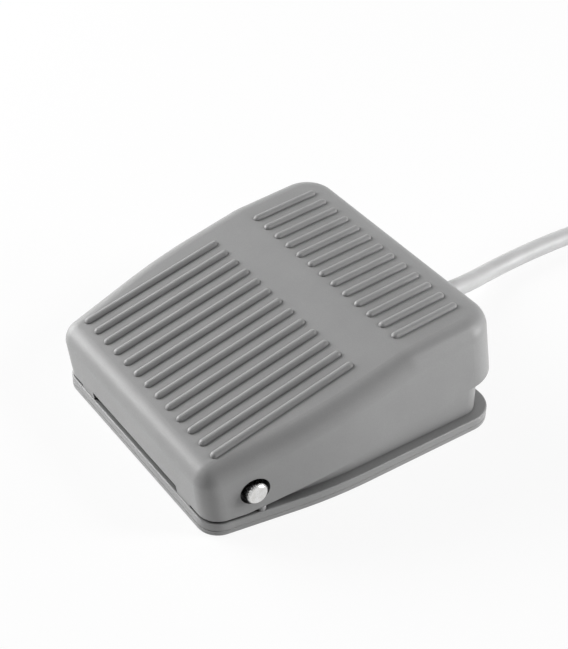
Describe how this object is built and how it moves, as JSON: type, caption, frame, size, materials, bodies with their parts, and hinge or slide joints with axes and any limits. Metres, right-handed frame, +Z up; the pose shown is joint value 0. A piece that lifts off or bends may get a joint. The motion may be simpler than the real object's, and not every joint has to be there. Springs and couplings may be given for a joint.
{
  "type": "foot switch",
  "caption": "Floor switch pressed by the foot: a hinged, ribbed cover on a low flanged base works an enclosed snap-action switch, with a short cable behind.",
  "frame": {"origin": "on the floor, under the middle of the base and cover", "axes": "+X across to the right, +Y from the hinge end to the cable end, +Z up"},
  "size_m": [0.0892, 0.2537, 0.0393],
  "materials": {
    "cover_plastic": "fine-textured mid-grey moulding",
    "base_plastic": "fine-textured mid-grey moulding",
    "pin_steel": "bright plated, turned ends",
    "clip_steel": "oiled spring steel",
    "switch_plastic": "black phenolic moulding",
    "lid_plastic": "black phenolic moulding",
    "plunger_plastic": "smooth red nylon",
    "lever_steel": "rolled stainless strip",
    "screw_steel": "zinc plated",
    "clamp_plastic": "mid-grey moulding",
    "gland_rubber": "soft black rubber",
    "cable_jacket": "light grey vinyl jacket",
    "spring_steel": "drawn spring wire",
    "foot_rubber": "black rubber",
    "contact_brass": "stamped brass",
    "lead_brown": "brown vinyl insulation",
    "lead_blue": "blue vinyl insulation",
    "lead_black": "black vinyl insulation",
    "tinned_copper": "tinned copper strand"
  },
  "bodies": {
    "base": {"base_housing": "base_plastic", "pivot_pin": "pin_steel", "pin_clips": "clip_steel", "switch_case": "switch_plastic", "switch_lid": "lid_plastic", "lever_pin": "clip_steel", "switch_screws": "screw_steel", "cable_clamp": "clamp_plastic", "clamp_screws": "screw_steel", "cable_gland": "gland_rubber", "cable_tail": "cable_jacket", "return_spring": "spring_steel", "cable": "cable_jacket", "foot_front_left": "foot_rubber", "foot_front_right": "foot_rubber", "foot_rear_left": "foot_rubber", "foot_rear_right": "foot_rubber", "terminal_common": "contact_brass", "terminal_open": "contact_brass", "terminal_closed": "contact_brass", "lead_common": "lead_brown", "lead_open": "lead_blue", "lead_closed": "lead_black", "lead_end_common": "lead_brown", "lead_end_open": "lead_blue", "lead_end_closed": "lead_black", "lead_tips": "tinned_copper"},
    "pedal": {"pedal_cover": "cover_plastic"},
    "lever": {"switch_lever": "lever_steel"},
    "plunger": {"switch_plunger": "plunger_plastic"}
  },
  "joints": [
    {"name": "pedal_hinge", "type": "hinge", "parent": "base", "child": "pedal", "pos_m": [0, -0.0338, 0.0125], "axis": [-1, 0, 0], "range_deg": [0, 7], "stiffness_Nm_per_rad": 1.7, "springref_deg": -9.45, "deforming": ["return_spring"]},
    {"name": "lever_hinge", "type": "hinge", "parent": "base", "child": "lever", "pos_m": [0.01665, 0.0342, 0.0246], "axis": [1, 0, 0], "range_deg": [0, 9.98]},
    {"name": "plunger_slide", "type": "slide", "parent": "base", "child": "plunger", "axis": [0, 0, -1], "range_m": [0, 0.0013]}
  ],
  "couplings": [
    {"joint": "lever_hinge", "follows": "pedal_hinge", "ratio": 1.4113},
    {"joint": "plunger_slide", "follows": "pedal_hinge", "m_per_rad": 0.010264}
  ]
}
